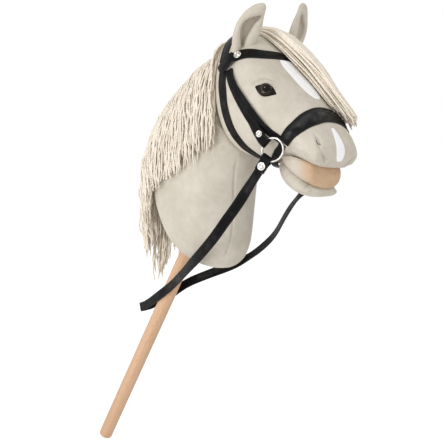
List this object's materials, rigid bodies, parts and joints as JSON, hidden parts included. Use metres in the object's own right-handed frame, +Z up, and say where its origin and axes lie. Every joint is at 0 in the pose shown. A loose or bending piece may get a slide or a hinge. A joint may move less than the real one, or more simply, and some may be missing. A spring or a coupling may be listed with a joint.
{
  "type": "hobby horse",
  "caption": "Stick horse toy: a stuffed velour head and neck with a yarn mane, glass-like eyes, a black bridle with free chrome rings and a strap rein, on a round beech stick.",
  "frame": {"origin": "centre of the small flat face at the stick's lower end", "axes": "+X forward, the way the nose points; +Y to the horse's left; +Z up, with the toy leaning forward 33.3 degrees as it does between a rider's legs"},
  "size_m": [0.5747, 0.1678, 0.7641],
  "materials": {
    "wood": "clear varnished beech, straight grain",
    "cotton": "plain woven cotton, hidden inside the neck",
    "nylon": "moulded nylon, hidden inside the toy",
    "velour": "short-pile velour, greyish beige",
    "mouth_velour": "short-pile velour, pinkish tan",
    "ear_velour": "short-pile velour, a little pinker than the skin",
    "white_velour": "white velour",
    "dark_thread": "dark brown embroidery",
    "eye_plastic": "polished domed plastic, brown iris and black pupil",
    "yarn": "cream cotton yarn",
    "strap": "black leatherette, edge-stitched, satin",
    "chrome": "bright plated metal"
  },
  "bodies": {
    "toy": {"stick": "wood", "stick_pocket": "cotton", "hem_tie": "nylon", "neck": "velour", "head": "velour", "lower_jaw": "velour", "mouth_lining": "mouth_velour", "ear_right": "velour", "ear_left": "velour", "ear_lining_right": "ear_velour", "ear_lining_left": "ear_velour", "eye_right": "eye_plastic", "eye_left": "eye_plastic", "eye_washer_right": "nylon", "eye_washer_left": "nylon", "eye_patch_right": "dark_thread", "eye_patch_left": "dark_thread", "nostril_right": "dark_thread", "nostril_left": "dark_thread", "blaze": "white_velour", "snip": "white_velour", "forelock_1": "yarn", "forelock_2": "yarn", "mane_right_1": "yarn", "mane_right_2": "yarn", "mane_right_3": "yarn", "mane_right_4": "yarn", "mane_right_5": "yarn", "mane_right_6": "yarn", "mane_right_7": "yarn", "mane_left_1": "yarn", "mane_left_2": "yarn", "mane_left_3": "yarn", "mane_left_4": "yarn", "mane_left_5": "yarn", "mane_left_6": "yarn", "mane_left_7": "yarn", "crownpiece": "strap", "browband": "strap", "throatlash": "strap", "cheekpiece_right": "strap", "cheekpiece_left": "strap", "noseband_hanger_right": "strap", "noseband_hanger_left": "strap", "noseband": "strap", "chin_strap": "strap", "brow_stud_right": "chrome", "brow_stud_left": "chrome", "cheek_stud_right": "chrome", "cheek_stud_left": "chrome"},
    "ring_right": {"ring_right": "chrome"},
    "ring_left": {"ring_left": "chrome"},
    "rein": {"rein": "strap", "rein_end_right": "strap", "rein_end_left": "strap", "rein_stud_right": "chrome", "rein_stud_left": "chrome"}
  },
  "joints": [
    {"name": "ring_spin_right", "type": "hinge", "parent": "toy", "child": "ring_right", "pos_m": [0.49058, -0.06648, 0.51809], "axis": [0.2756, -0.9613, 0], "continuous": true},
    {"name": "ring_spin_left", "type": "hinge", "parent": "toy", "child": "ring_left", "pos_m": [0.49058, 0.06648, 0.51809], "axis": [0.2756, 0.9613, 0], "continuous": true},
    {"name": "rein_swing", "type": "hinge", "parent": "toy", "child": "rein", "pos_m": [0.49058, 0, 0.51809], "axis": [0, 1, 0], "range_deg": [0, 4]}
  ]
}
